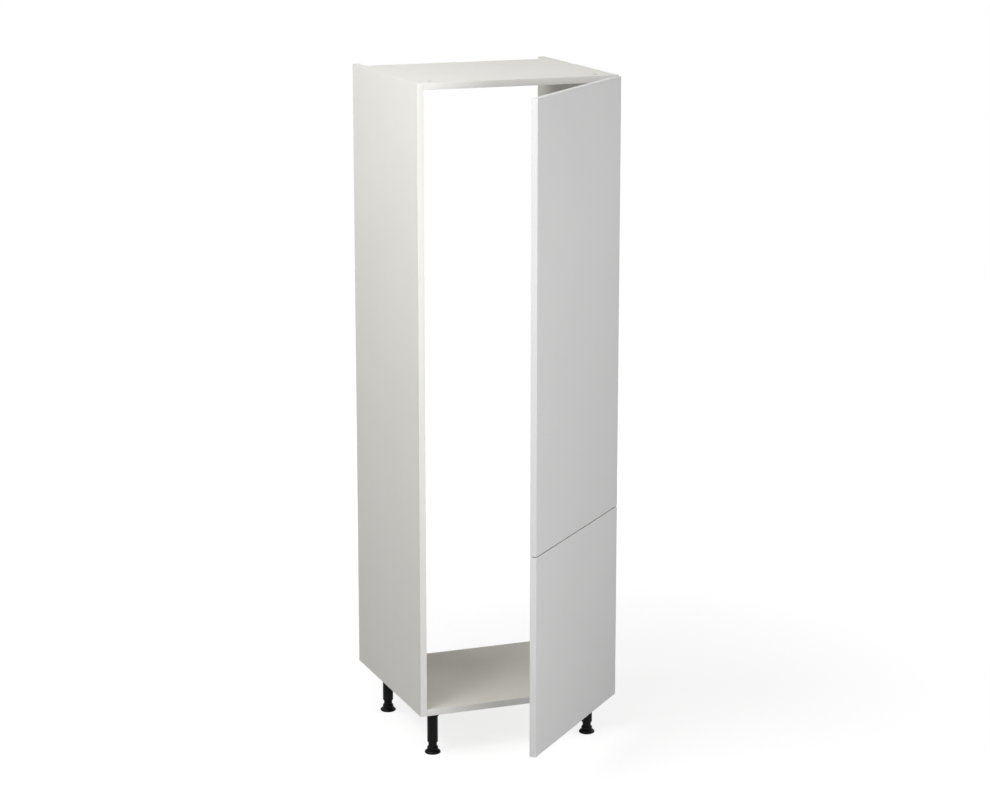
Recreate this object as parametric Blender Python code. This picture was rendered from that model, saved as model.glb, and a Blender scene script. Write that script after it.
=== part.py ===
"""Fridge housing unit, 60 cm wide: an open-backed tall carcass on four adjustable legs, with two doors.

Metres, +Z up. The script's own frame, the cabinet frame, runs x across from the cabinet's middle,
y back from the carcass's front and z up from the floor, with both doors shut. Everything is drawn in
that frame. Empties then swing the doors open on their hinges and bring the middle of the whole
unit's footprint to the world's origin.
"""
import math

import bmesh
import bpy
from mathutils import Matrix, Vector

# Clearance between pieces that touch, and how far a cutter runs past what it cuts.
seat_gap = 0.0003
cut_overrun = 0.002

# Carcass: two sides, with a top and a base between them that stop short at the back for air.
carcass_width = 0.600
carcass_height = 1.818
carcass_depth = 0.560
board_thickness = 0.019
vent_depth = 0.068
band_thickness = 0.001
band_round = 0.0004

# Doors, hinged on the right.
door_thickness = 0.019
door_reveal = 0.002
door_split_gap = 0.003
door_standoff = 0.002
upper_door_height = 1.241
door_edge_round = 0.001
door_edge_steps = 2
bumper_radius = 0.004
bumper_inset = 0.0115
bumper_end_inset = 0.040

# Door motion. The links turn back by a share of the door's own turn.
door_open_deg = 45.0
link_turn_share = 0.30

# Hinge cup, let into the back of the door.
hinge_end_inset = 0.100
cup_radius = 0.0172
cup_wall = 0.0013
cup_depth = 0.0125
cup_floor = 0.0012
cup_edge_distance = 0.0035
cup_pocket_half_width = 0.0076
flange_thickness = 0.0012
flange_radius = 0.0187
flange_ear_radius = 0.0055
cup_screw_spacing = 0.045
cup_screw_offset = 0.0095

# Hinge pins and the link between them.
pin_radius = 0.0015
pin_clearance = 0.0003
cup_pin_edge_distance = 0.0110
cup_pin_depth = 0.0076
cup_pin_half_length = 0.0110
arm_pin_inset = 0.0141
arm_pin_reach = 0.0061
link_half_width = 0.0050
link_eye_radius = 0.0026
link_neck_radius = 0.0010
link_bow = 0.0035

# Hinge arm, a channel over the block of the mounting plate.
arm_half_width = 0.0070
arm_sheet = 0.0015
arm_tip_radius = 0.0029
arm_corner_radius = 0.0015
arm_web_inset = 0.0170
arm_open_inset = 0.0050
arm_nose_back = 0.0060
arm_web_start = 0.0020
arm_back = 0.0660
plate_block_half_width = 0.0052
plate_block_front = 0.0240
plate_block_back = 0.0600
plate_wing_thickness = 0.0018
plate_line = 0.0370
plate_wing_radius = 0.0090
plate_screw_spacing = 0.0320
arm_screw_line = 0.0500

# Screws, all with the same round head shape.
screw_radius = 0.0017
screw_head_radius = 0.0034
screw_head_height = 0.0013
screw_length = 0.0110

# Corner fittings at each end of the top and the base: a turning cam that draws in a bolt, and a dowel.
cam_radius = 0.0072
cam_height = 0.0125
cam_end_distance = 0.034
cam_recess = 0.0002
cam_slot_width = 0.0016
cam_slot_length = 0.0100
cam_slot_depth = 0.0020
top_cam_line = 0.045
base_cam_line = 0.130
bolt_radius = 0.0035
bolt_side_depth = 0.0100
dowel_radius = 0.0040
dowel_side_depth = 0.0100
dowel_board_depth = 0.0200
dowel_line = 0.380

# Legs: a socket screwed under the base, a tube plugged into it, and a foot that screws up or down.
leg_height = 0.135
leg_side_inset = 0.057
front_leg_line = 0.060
rear_leg_inset = 0.033
socket_plate_half = 0.032
socket_plate_corner = 0.008
socket_plate_thickness = 0.004
socket_ring_radius = 0.0190
socket_ring_height = 0.022
socket_screw_inset = 0.024
leg_tube_radius = 0.0155
leg_tube_wall = 0.0024
leg_tube_bottom = 0.034
leg_tube_lip = 0.0008
foot_radius = 0.0233
foot_flat_radius = 0.0212
foot_rim_height = 0.0045
foot_rim_edge_share = 0.40
foot_dome_height = 0.0110
foot_dome_rise_share = 0.60
foot_dome_spread_share = 0.574
foot_collar_radius = 0.0160
foot_collar_height = 0.0090
foot_collar_edge = 0.0012
foot_neck_top = 0.062
foot_rib_depth = 0.0009
foot_rib_pitch = 0.0030
foot_rib_count = 4

# Facets round the turned pieces.
bore_sides = 10
pin_sides = 8
screw_sides = 6
cup_sides = 26
leg_sides = 18
outline_sides = 20
cap_steps = 5
link_steps = 6
pocket_steps = 6
sharp_edge_deg = 35.0

# Places that follow from the sizes above, in the cabinet frame, and the axis that each carrier turns on.
half_width = carcass_width / 2
side_inner_x = half_width - board_thickness
carcass_bottom = leg_height
carcass_top = leg_height + carcass_height
board_depth = carcass_depth - vent_depth
rear_leg_line = board_depth - rear_leg_inset
door_edge_x = half_width - door_reveal
door_back_y = -door_standoff
door_front_y = door_back_y - door_thickness
upper_door_top = carcass_top - door_reveal
upper_door_bottom = upper_door_top - upper_door_height
lower_door_top = upper_door_bottom - door_split_gap
lower_door_bottom = carcass_bottom + door_reveal
arm_pin = Vector((side_inner_x - arm_pin_inset, -arm_pin_reach, 0))
cup_pin = Vector((door_edge_x - cup_pin_edge_distance, door_back_y - cup_pin_depth, 0))
cup_x = door_edge_x - cup_edge_distance - cup_radius - seat_gap
cup_screw_x = cup_x - cup_screw_offset
door_turn = math.radians(door_open_deg)
link_turn = -link_turn_share * door_turn
axis_place = {"carcass": Vector((0, 0, 0))}

white_board = (0.80, 0.80, 0.78, 1)
white_band = (0.86, 0.86, 0.84, 1)
white_front = (0.82, 0.83, 0.84, 1)
black_plastic = (0.012, 0.012, 0.013, 1)
nickel = (0.62, 0.61, 0.59, 1)
zinc = (0.45, 0.45, 0.44, 1)
beech = (0.62, 0.44, 0.26, 1)
clear_rubber = (0.75, 0.75, 0.73, 1)


def turned(point, angle):
    """A plan position turned about the vertical axis through the frame's origin."""
    return Matrix.Rotation(angle, 3, "Z") @ point


def open_place(point):
    """Where a point of the shut door lies once the links and the door have turned."""
    moved_pin = arm_pin + turned(cup_pin - arm_pin, link_turn)
    return moved_pin + turned(point - cup_pin, door_turn)


def footprint_middle():
    """Middle of the unit's outline seen from above, doors open, worked out at the doors' rounded corners."""
    round_in = Vector((door_edge_round, door_edge_round, 0))
    free_corner = open_place(Vector((-door_edge_x, door_front_y, 0)) + round_in)
    round_out = Vector((-door_edge_round, door_edge_round, 0))
    hinge_corner = open_place(Vector((door_edge_x, door_front_y, 0)) + round_out)
    front = min(0, free_corner.y - door_edge_round)
    right = max(half_width, hinge_corner.x + door_edge_round)
    return Vector(((right - half_width) / 2, (carcass_depth + front) / 2, 0))


def clear_scene():
    for item in list(bpy.data.objects):
        bpy.data.objects.remove(item, do_unlink=True)


def empty(name, parent, location, angle):
    """A carrier for pieces that move together, with its origin on their axis."""
    item = bpy.data.objects.new(name, None)
    bpy.context.scene.collection.objects.link(item)
    item.parent = parent
    item.location = location
    item.rotation_euler = (0, 0, angle)
    return item


def finish(item, colour, roughness, metallic):
    """Each piece's own material."""
    paint = bpy.data.materials.new(item.name)
    paint.use_nodes = True
    shader = paint.node_tree.nodes["Principled BSDF"]
    shader.inputs["Base Color"].default_value = colour
    shader.inputs["Roughness"].default_value = roughness
    shader.inputs["Metallic"].default_value = metallic
    item.data.materials.append(paint)
    return item


def piece(name, shape, carrier):
    """An object made from a bmesh, carried by one of the empties and drawn in the cabinet frame."""
    bmesh.ops.recalc_face_normals(shape, faces=shape.faces)
    mesh = bpy.data.meshes.new(name)
    shape.to_mesh(mesh)
    shape.free()
    mesh.shade_smooth()
    mesh.set_sharp_from_angle(angle=math.radians(sharp_edge_deg))
    item = bpy.data.objects.new(name, mesh)
    bpy.context.scene.collection.objects.link(item)
    item.parent = carrier
    item.location = -axis_place[carrier.name]
    return item


def boolean(item, operation, name, shape):
    """Cuts or joins a shape, kept as a hidden guide beside the piece."""
    guide = piece(f"{item.name}_{name}", shape, item.parent)
    guide.hide_render = True
    guide.display_type = "WIRE"
    change = item.modifiers.new(name, "BOOLEAN")
    change.operation = operation
    change.solver = "EXACT"
    change.object = guide


def merged(shapes):
    """Several separate solids in one mesh."""
    whole = bmesh.new()
    for shape in shapes:
        scratch = bpy.data.meshes.new("scratch")
        shape.to_mesh(scratch)
        shape.free()
        whole.from_mesh(scratch)
        bpy.data.meshes.remove(scratch)
    return whole


def block(low, high, edge_round=0, round_steps=1):
    """A rectangular solid between two corners, with its edges rounded if asked."""
    low, high = Vector(low), Vector(high)
    size = high - low
    place = Matrix.Translation((low + high) / 2) @ Matrix.Diagonal((*size, 1))
    shape = bmesh.new()
    bmesh.ops.create_cube(shape, size=1, matrix=place)
    if edge_round:
        bmesh.ops.bevel(shape, geom=shape.edges[:], offset=edge_round, segments=round_steps,
                        profile=0.5, affect="EDGES", clamp_overlap=True)
    return shape


def laid(axis):
    """Turns a shape drawn up the z axis so that its height runs along another axis."""
    if axis == "x":
        return Matrix(((0, 0, 1, 0), (1, 0, 0, 0), (0, 1, 0, 0), (0, 0, 0, 1)))
    if axis == "y":
        return Matrix(((0, 1, 0, 0), (0, 0, 1, 0), (1, 0, 0, 0), (0, 0, 0, 1)))
    return Matrix.Identity(4)


def prism(outline, low, high, axis="z"):
    """A flat outline given height. Along x the outline is (y, z), along y it is (z, x)."""
    shape = bmesh.new()
    bottom = [shape.verts.new((u, v, low)) for u, v in outline]
    top = [shape.verts.new((u, v, high)) for u, v in outline]
    shape.faces.new(reversed(bottom))
    shape.faces.new(top)
    for i in range(len(outline)):
        j = (i + 1) % len(outline)
        shape.faces.new((bottom[i], bottom[j], top[j], top[i]))
    bmesh.ops.transform(shape, matrix=laid(axis), verts=shape.verts)
    return shape


def lathe(profile, centre, sides, axis="z"):
    """Turns a profile of (radius, height) pairs, from one end of the axis to the other."""
    shape = bmesh.new()
    rings = []
    for radius, height in profile:
        if radius == 0:
            rings.append([shape.verts.new((0, 0, height))])
            continue
        ring = []
        for i in range(sides):
            angle = math.tau * i / sides
            ring.append(shape.verts.new((radius * math.cos(angle), radius * math.sin(angle), height)))
        rings.append(ring)
    for lower, upper in zip(rings, rings[1:]):
        for i in range(sides):
            j = (i + 1) % sides
            if len(lower) == 1:
                shape.faces.new((lower[0], upper[j], upper[i]))
            elif len(upper) == 1:
                shape.faces.new((lower[i], lower[j], upper[0]))
            else:
                shape.faces.new((lower[i], lower[j], upper[j], upper[i]))
    if len(rings[0]) > 1:
        close_tube(shape, rings)
    place = Matrix.Translation(centre) @ laid(axis)
    bmesh.ops.transform(shape, matrix=place, verts=shape.verts)
    return shape


def close_tube(shape, rings):
    """Joins the last ring of a hollow turned profile back to the first."""
    sides = len(rings[0])
    for i in range(sides):
        j = (i + 1) % sides
        shape.faces.new((rings[-1][i], rings[-1][j], rings[0][j], rings[0][i]))


def rod(radius, low, high, centre, sides, axis="z"):
    """A plain cylinder between two heights along its axis."""
    return lathe([(0, low), (radius, low), (radius, high), (0, high)], centre, sides, axis)


def screw(place, axis, sense):
    """A screw whose head stands out from place by sense along the axis, with its shank the other way."""
    rise = screw_head_height
    profile = [(0, -screw_length), (screw_radius, -screw_length), (screw_radius, 0), (screw_head_radius, 0),
               (screw_head_radius - rise / 2, rise), (0, rise)]
    if sense < 0:
        profile = [(radius, -height) for radius, height in reversed(profile)]
    return lathe(profile, place, screw_sides, axis)


def hull_outline(discs, sides):
    """Outline of a band stretched round discs given as (u, v, radius), with round corners."""
    points = []
    for i in range(sides):
        angle = math.tau * (i + 0.5) / sides
        u, v = math.cos(angle), math.sin(angle)
        cu, cv, radius = max(discs, key=lambda disc: disc[0] * u + disc[1] * v + disc[2])
        points.append((cu + radius * u, cv + radius * v))
    return points


def pocket_outline(centre, radius, half_width, sides):
    """A disc's outline with two flats at half_width, as (z, x) pairs round a centre given the same way."""
    reach = math.sqrt(radius * radius - half_width * half_width)
    limit = math.asin(half_width / radius)
    points = []
    for start in (0, math.pi):
        for i in range(sides + 1):
            angle = start - limit + 2 * limit * i / sides
            points.append((centre[0] + radius * math.sin(angle), centre[1] + radius * math.cos(angle)))
    for index in (0, sides, sides + 1, 2 * sides + 1):
        z, x = points[index]
        points[index] = (centre[0] + math.copysign(half_width, z - centre[0]),
                         centre[1] + math.copysign(reach, x - centre[1]))
    return points


def link_outline():
    """A bowed bar between the two pins, with an eye at each end, in plan."""
    start, end = arm_pin.xy, cup_pin.xy
    along = (end - start).normalized()
    across = Vector((along.y, -along.x))
    middle = (start + end) / 2 + across * link_bow
    control = middle * 2 - (start + end) / 2
    left, right = [], []
    for i in range(link_steps + 1):
        t = i / link_steps
        spot = start * (1 - t) ** 2 + control * (2 * t * (1 - t)) + end * t ** 2
        heading = ((control - start) * (1 - t) + (end - control) * t).normalized()
        side = Vector((-heading.y, heading.x))
        width = link_neck_radius + (link_eye_radius - link_neck_radius) * abs(2 * t - 1) ** 3
        left.append(spot + side * width)
        right.append(spot - side * width)
    end_arc = half_circle(end, (left[-1] - end), -1)
    start_arc = half_circle(start, (right[0] - start), -1)
    return [tuple(p) for p in left + end_arc + right[::-1] + start_arc]


def half_circle(centre, radius_vector, sense):
    """Points inside the half turn that starts at centre plus radius_vector."""
    points = []
    for i in range(1, cap_steps):
        angle = sense * math.pi * i / cap_steps
        points.append(centre + Matrix.Rotation(angle, 2) @ radius_vector)
    return points


def make_boards(carcass):
    """Sides, top and base, drilled for their fittings, and the bands on their front edges."""
    board_front = band_thickness + seat_gap
    for side, sign in (("left", -1), ("right", 1)):
        ends = sorted((sign * half_width, sign * side_inner_x))
        slab = block((ends[0], board_front, carcass_bottom), (ends[1], carcass_depth, carcass_top))
        board = piece(f"{side}_side_panel", slab, carcass)
        finish(board, white_board, 0.45, 0)
        boolean(board, "DIFFERENCE", "fitting_bores", merged(side_bores(sign)))
        strip = block((ends[0], 0, carcass_bottom), (ends[1], band_thickness, carcass_top), band_round)
        band = piece(f"{side}_side_edge_band", strip, carcass)
        finish(band, white_band, 0.35, 0)
    for name, bottom in board_levels().items():
        reach = side_inner_x - seat_gap
        slab = block((-reach, board_front, bottom), (reach, board_depth, bottom + board_thickness))
        board = piece(f"{name}_panel", slab, carcass)
        finish(board, white_board, 0.45, 0)
        boolean(board, "DIFFERENCE", "end_bores", merged(end_bores(name)))
        boolean(board, "DIFFERENCE", "cam_bores", merged(cam_bores(name)))
        if name == "base":
            boolean(board, "DIFFERENCE", "leg_screw_bores", merged(leg_screw_bores()))
        strip = block((-reach, 0, bottom), (reach, band_thickness, bottom + board_thickness), band_round)
        band = piece(f"{name}_edge_band", strip, carcass)
        finish(band, white_band, 0.35, 0)


def board_levels():
    """Underside of each board that lies between the sides."""
    return {"top": carcass_top - board_thickness, "base": carcass_bottom}


def cam_line(name):
    return top_cam_line if name == "top" else base_cam_line


def bolt_rod(name, sign, gain, side_depth, inner_x):
    """A cam's bolt, or the bore it sits in, along x from inside the board into the cabinet side."""
    level = board_levels()[name] + board_thickness / 2
    span = sorted((sign * inner_x, sign * (side_inner_x + side_depth)))
    return rod(bolt_radius + gain, *span, (0, cam_line(name), level), bore_sides, "x")


def dowel_rod(name, sign, gain):
    """A dowel, or the bore it sits in, half in the board's end and half in the cabinet side."""
    level = board_levels()[name] + board_thickness / 2
    inner_x = side_inner_x - dowel_board_depth - gain
    outer_x = side_inner_x + dowel_side_depth + gain
    span = sorted((sign * inner_x, sign * outer_x))
    return rod(dowel_radius + gain, *span, (0, dowel_line, level), bore_sides, "x")


def side_bores(sign):
    """Blind bores in one side for the bolts, the dowels and, on the right, the hinge plates' screws."""
    bores = []
    for name in board_levels():
        bores.append(bolt_rod(name, sign, seat_gap, bolt_side_depth + seat_gap, side_inner_x - cut_overrun))
        bores.append(dowel_rod(name, sign, seat_gap))
    if sign > 0:
        bores += plate_screw_bores()
    return bores


def end_bores(name):
    """Bores in both ends of the top or the base, for the bolts and the dowels."""
    bores = []
    for sign in (-1, 1):
        bores.append(bolt_rod(name, sign, seat_gap, cut_overrun, side_inner_x - cam_end_distance))
        bores.append(dowel_rod(name, sign, seat_gap))
    return bores


def cam_place(name, sign):
    """Axis of a cam, the height of the face it is let into and the way that face looks."""
    bottom = board_levels()[name]
    face, sense = (bottom + board_thickness, 1) if name == "top" else (bottom, -1)
    return sign * (side_inner_x - cam_end_distance), cam_line(name), face, sense


def cam_bores(name):
    bores = []
    for sign in (-1, 1):
        x, y, face, sense = cam_place(name, sign)
        span = sorted((face + sense * cut_overrun, face - sense * (cam_recess + cam_height + seat_gap)))
        bores.append(rod(cam_radius + seat_gap, *span, (x, y, 0), leg_sides))
    return bores


def make_cam(name, side, sign, carcass):
    """A cam with a crossed driver slot in its face and a way in for the bolt's end."""
    x, y, face, sense = cam_place(name, sign)
    outer = face - sense * cam_recess
    span = sorted((outer, outer - sense * cam_height))
    cam = piece(f"{name}_{side}_cam_lock", rod(cam_radius, *span, (x, y, 0), leg_sides), carcass)
    finish(cam, zinc, 0.40, 0.9)
    levels = sorted((outer + sense * cut_overrun, outer - sense * cam_slot_depth))
    ways = (("along", cam_slot_length, cam_slot_width), ("across", cam_slot_width, cam_slot_length))
    for way, long, wide in ways:
        slot = block((x - long / 2, y - wide / 2, levels[0]), (x + long / 2, y + wide / 2, levels[1]))
        boolean(cam, "DIFFERENCE", f"slot_{way}", slot)
    reach = abs(x) - bolt_radius
    boolean(cam, "DIFFERENCE", "bolt_way", bolt_rod(name, sign, seat_gap, cut_overrun, reach - seat_gap))


def make_fittings(carcass):
    """Cams, bolts and dowels at both ends of the top and the base."""
    for name in board_levels():
        for side, sign in (("left", -1), ("right", 1)):
            make_cam(name, side, sign, carcass)
            inner_x = side_inner_x - cam_end_distance - bolt_radius
            shank = bolt_rod(name, sign, 0, bolt_side_depth, inner_x)
            bolt = piece(f"{name}_{side}_cam_bolt", shank, carcass)
            finish(bolt, zinc, 0.35, 1)
            dowel = piece(f"{name}_{side}_dowel", dowel_rod(name, sign, 0), carcass)
            finish(dowel, beech, 0.7, 0)


def leg_places():
    """Name and plan place of each leg."""
    x = half_width - leg_side_inset
    return {"front_left": (-x, front_leg_line), "front_right": (x, front_leg_line),
            "rear_left": (-x, rear_leg_line), "rear_right": (x, rear_leg_line)}


def leg_screw_places(x, y):
    """Plan places of the screws at the corners of one leg's socket."""
    steps = (-socket_screw_inset, socket_screw_inset)
    return [(x + dx, y + dy) for dx in steps for dy in steps]


def leg_screw_bores():
    """Blind bores in the underside of the base for the legs' screws."""
    bores = []
    for leg_x, leg_y in leg_places().values():
        for x, y in leg_screw_places(leg_x, leg_y):
            place = (x, y, carcass_bottom)
            bores.append(rod(screw_radius + seat_gap, -cut_overrun, screw_length, place, screw_sides))
    return bores


def foot_profile():
    """The foot from its flat underside up over its dome and collar to its ribbed neck."""
    neck = leg_tube_radius - leg_tube_wall - seat_gap
    collar_top = foot_dome_height + foot_collar_height
    shoulder = foot_collar_radius + (foot_radius - foot_collar_radius) * foot_dome_spread_share
    dome_rise = (foot_dome_height - foot_rim_height) * foot_dome_rise_share
    profile = [(0, 0), (foot_flat_radius, 0), (foot_radius, foot_rim_height * foot_rim_edge_share),
               (foot_radius, foot_rim_height)]
    profile += [(shoulder, foot_rim_height + dome_rise),
                (foot_collar_radius - foot_collar_edge, foot_dome_height),
                (foot_collar_radius, foot_dome_height + foot_collar_edge),
                (foot_collar_radius, collar_top - foot_collar_edge),
                (foot_collar_radius - foot_collar_edge, collar_top), (neck - foot_rib_depth, collar_top)]
    for i in range(foot_rib_count):
        low = collar_top + foot_rib_pitch * i
        profile += [(neck, low + foot_rib_pitch / 2), (neck - foot_rib_depth, low + foot_rib_pitch)]
    profile += [(neck, profile[-1][1] + foot_rib_pitch / 2), (neck, foot_neck_top), (0, foot_neck_top)]
    return profile


def make_legs(carcass):
    """Four legs, each a socket with its screws, a tube and a foot."""
    plate_top = carcass_bottom - seat_gap
    plate_bottom = plate_top - socket_plate_thickness
    ring_bottom = plate_bottom - socket_ring_height
    corner = socket_plate_half - socket_plate_corner
    inner = leg_tube_radius - leg_tube_wall
    for name, (x, y) in leg_places().items():
        corners = [(x + u * corner, y + v * corner, socket_plate_corner) for u in (-1, 1) for v in (-1, 1)]
        plate = prism(hull_outline(corners, outline_sides), plate_bottom, plate_top)
        socket = piece(f"{name}_leg_socket", plate, carcass)
        finish(socket, black_plastic, 0.45, 0)
        ring_top = plate_bottom + socket_plate_thickness / 2
        ring = rod(socket_ring_radius, ring_bottom, ring_top, (x, y, 0), leg_sides)
        boolean(socket, "UNION", "ring", ring)
        bore = rod(leg_tube_radius + seat_gap, ring_bottom - cut_overrun, plate_bottom, (x, y, 0), leg_sides)
        boolean(socket, "DIFFERENCE", "tube_bore", bore)
        screws = [screw((*place, plate_bottom + seat_gap), "z", -1) for place in leg_screw_places(x, y)]
        boolean(socket, "UNION", "screws", merged(screws))
        tube_top = plate_bottom - seat_gap
        wall = [(inner, tube_top), (inner, leg_tube_bottom),
                (leg_tube_radius - leg_tube_lip, leg_tube_bottom),
                (leg_tube_radius, leg_tube_bottom + leg_tube_lip), (leg_tube_radius, tube_top)]
        tube = piece(f"{name}_leg_tube", lathe(wall, (x, y, 0), leg_sides), carcass)
        finish(tube, black_plastic, 0.35, 0)
        axis_place[f"{name}_foot_axis"] = Vector((x, y, 0))
        carrier = empty(f"{name}_foot_axis", carcass, (x, y, 0), 0)
        foot = piece(f"{name}_foot", lathe(foot_profile(), (x, y, 0), leg_sides), carrier)
        finish(foot, black_plastic, 0.4, 0)


def hinge_heights():
    """Heights of each door's hinges: one near each end, and one midway on the tall door."""
    upper_ends = (upper_door_top - hinge_end_inset, upper_door_bottom + hinge_end_inset)
    upper = (upper_ends[0], sum(upper_ends) / 2, upper_ends[1])
    lower = (lower_door_top - hinge_end_inset, lower_door_bottom + hinge_end_inset)
    return {"upper": upper, "lower": lower}


def all_heights():
    return [height for heights in hinge_heights().values() for height in heights]


def plate_screw_bores():
    """Blind bores in the right side for the screws of the mounting plates."""
    bores = []
    for height in all_heights():
        for offset in (-plate_screw_spacing / 2, plate_screw_spacing / 2):
            place = (side_inner_x, plate_line, height + offset)
            bores.append(rod(screw_radius + seat_gap, -cut_overrun, screw_length, place, screw_sides, "x"))
    return bores


def arm_web_x():
    """Outer face of the arm's web, the side away from the cabinet side."""
    return side_inner_x - arm_web_inset


def make_mounting_plate(name, height, carcass):
    """A winged plate screwed to the cabinet side, with a block that the arm straddles and is screwed to."""
    back_x = side_inner_x - seat_gap
    wing_x = back_x - plate_wing_thickness
    reach = plate_screw_spacing / 2
    discs = [(plate_line, height - reach, plate_wing_radius), (plate_line, height + reach, plate_wing_radius)]
    plate = piece(name, prism(hull_outline(discs, outline_sides), wing_x, back_x, "x"), carcass)
    finish(plate, nickel, 0.3, 1)
    block_x = arm_web_x() + arm_sheet + seat_gap
    lump = block((block_x, plate_block_front, height - plate_block_half_width),
                 (back_x - plate_wing_thickness / 2, plate_block_back, height + plate_block_half_width))
    boolean(plate, "UNION", "block", lump)
    screws = [screw((wing_x + seat_gap, plate_line, height + offset), "x", -1) for offset in (-reach, reach)]
    screws.append(screw((arm_web_x() - seat_gap, arm_screw_line, height), "x", -1))
    boolean(plate, "UNION", "screws", merged(screws))


def make_arm(name, height, carcass):
    """A channel of sheet, open towards the cabinet side, with the arm pin riveted through its nose."""
    web_x = arm_web_x()
    open_x = side_inner_x - arm_open_inset
    radius = arm_corner_radius
    discs = [(arm_pin.x, arm_pin.y, arm_tip_radius), (web_x + radius, arm_back - radius, radius),
             (open_x - radius, arm_back - radius, radius), (open_x - radius, arm_nose_back, radius)]
    solid = prism(hull_outline(discs, outline_sides), height - arm_half_width, height + arm_half_width)
    arm = piece(name, solid, carcass)
    finish(arm, nickel, 0.25, 1)
    inside = web_x + arm_sheet
    past_left, past_right = web_x - arm_tip_radius - cut_overrun, open_x + cut_overrun
    past_tip, past_back = arm_pin.y - arm_tip_radius - cut_overrun, arm_back + cut_overrun
    hollow = [(past_left, past_tip), (past_right, past_tip), (past_right, past_back), (inside, past_back),
              (inside, arm_web_start), (past_left, arm_web_start)]
    half = arm_half_width - arm_sheet
    boolean(arm, "DIFFERENCE", "channel", prism(hollow, height - half, height + half))
    pin_reach = arm_half_width - arm_sheet / 2
    boolean(arm, "UNION", "pin", rod(pin_radius, -pin_reach, pin_reach, (*arm_pin.xy, height), pin_sides))
    bore_place = (web_x, arm_screw_line, height)
    bore = rod(screw_radius + seat_gap, -cut_overrun, arm_sheet + cut_overrun, bore_place, screw_sides, "x")
    boolean(arm, "DIFFERENCE", "screw_bore", bore)


def make_link(name, height, carrier):
    """The bowed link between the arm's pin and the cup's pin."""
    solid = prism(link_outline(), height - link_half_width, height + link_half_width)
    link = piece(name, solid, carrier)
    finish(link, nickel, 0.25, 1)
    past = link_half_width + cut_overrun
    eyes = []
    for pin in (arm_pin, cup_pin):
        eyes.append(rod(pin_radius + pin_clearance, -past, past, (*pin.xy, height), bore_sides))
    boolean(link, "DIFFERENCE", "eyes", merged(eyes))


def make_cup(name, height, carrier):
    """A cast cup screwed on by its flange, with the cup pin across the pocket that the arm's nose enters."""
    face = door_back_y + seat_gap
    screw_reach = cup_screw_spacing / 2
    discs = [(height, cup_x, flange_radius), (height - screw_reach, cup_screw_x, flange_ear_radius),
             (height + screw_reach, cup_screw_x, flange_ear_radius)]
    flange = prism(hull_outline(discs, outline_sides), face, face + flange_thickness, "y")
    cup = piece(name, flange, carrier)
    finish(cup, nickel, 0.28, 1)
    floor = door_back_y - cup_depth
    drum = rod(cup_radius, floor, face + flange_thickness / 2, (cup_x, 0, height), cup_sides, "y")
    boolean(cup, "UNION", "drum", drum)
    outline = pocket_outline((height, cup_x), cup_radius - cup_wall, cup_pocket_half_width, pocket_steps)
    pocket = prism(outline, floor + cup_floor, face + flange_thickness + cut_overrun, "y")
    boolean(cup, "DIFFERENCE", "pocket", pocket)
    pin = rod(pin_radius, -cup_pin_half_length, cup_pin_half_length, (*cup_pin.xy, height), pin_sides)
    boolean(cup, "UNION", "pin", pin)
    screw_y = face + flange_thickness - seat_gap
    screws = [screw((cup_screw_x, screw_y, height + reach), "y", 1) for reach in (-screw_reach, screw_reach)]
    boolean(cup, "UNION", "screws", merged(screws))


def cup_screw_bores(heights):
    """Blind bores in the back of a door for the screws of its cups."""
    bores = []
    for height in heights:
        for reach in (-cup_screw_spacing / 2, cup_screw_spacing / 2):
            place = (cup_screw_x, door_back_y, height + reach)
            bores.append(rod(screw_radius + seat_gap, -screw_length, cut_overrun, place, screw_sides, "y"))
    return bores


def make_door(name, bottom, top, heights, carrier):
    """A plain slab with eased edges, bored for its hinge cups, with two bumpers on its free side."""
    slab = block((-door_edge_x, door_front_y, bottom), (door_edge_x, door_back_y, top),
                 door_edge_round, door_edge_steps)
    door = piece(f"{name}_door", slab, carrier)
    finish(door, white_front, 0.35, 0)
    cups = [rod(cup_radius + seat_gap, door_back_y - cup_depth - seat_gap, door_back_y + cut_overrun,
                (cup_x, 0, height), cup_sides, "y") for height in heights]
    boolean(door, "DIFFERENCE", "cup_bores", merged(cups))
    boolean(door, "DIFFERENCE", "screw_bores", merged(cup_screw_bores(heights)))
    for end, height in (("top", top - bumper_end_inset), ("bottom", bottom + bumper_end_inset)):
        place = (bumper_inset - half_width, 0, height)
        drop = rod(bumper_radius, door_back_y + seat_gap, -seat_gap, place, bore_sides, "y")
        bumper = piece(f"{name}_door_{end}_bumper", drop, carrier)
        finish(bumper, clear_rubber, 0.3, 0)


def make_hinged_door(name, bottom, top, carcass):
    """A door, its hinges and the two empties that they turn on: the arm pins and the cup pins."""
    heights = hinge_heights()[name]
    link_axis, door_axis = f"{name}_link_axis", f"{name}_door_axis"
    axis_place[link_axis], axis_place[door_axis] = arm_pin, cup_pin
    link_carrier = empty(link_axis, carcass, arm_pin, link_turn)
    door_carrier = empty(door_axis, link_carrier, cup_pin - arm_pin, door_turn - link_turn)
    make_door(name, bottom, top, heights, door_carrier)
    for number, height in enumerate(heights, 1):
        make_mounting_plate(f"{name}_mounting_plate_{number}", height, carcass)
        make_arm(f"{name}_hinge_arm_{number}", height, carcass)
        make_link(f"{name}_hinge_link_{number}", height, link_carrier)
        make_cup(f"{name}_hinge_cup_{number}", height, door_carrier)


clear_scene()
middle = footprint_middle()
carcass_frame = empty("carcass", None, -middle, 0)
make_boards(carcass_frame)
make_fittings(carcass_frame)
make_legs(carcass_frame)
make_hinged_door("upper", upper_door_bottom, upper_door_top, carcass_frame)
make_hinged_door("lower", lower_door_bottom, lower_door_top, carcass_frame)
print("footprint middle", [round(value, 6) for value in middle])
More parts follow.
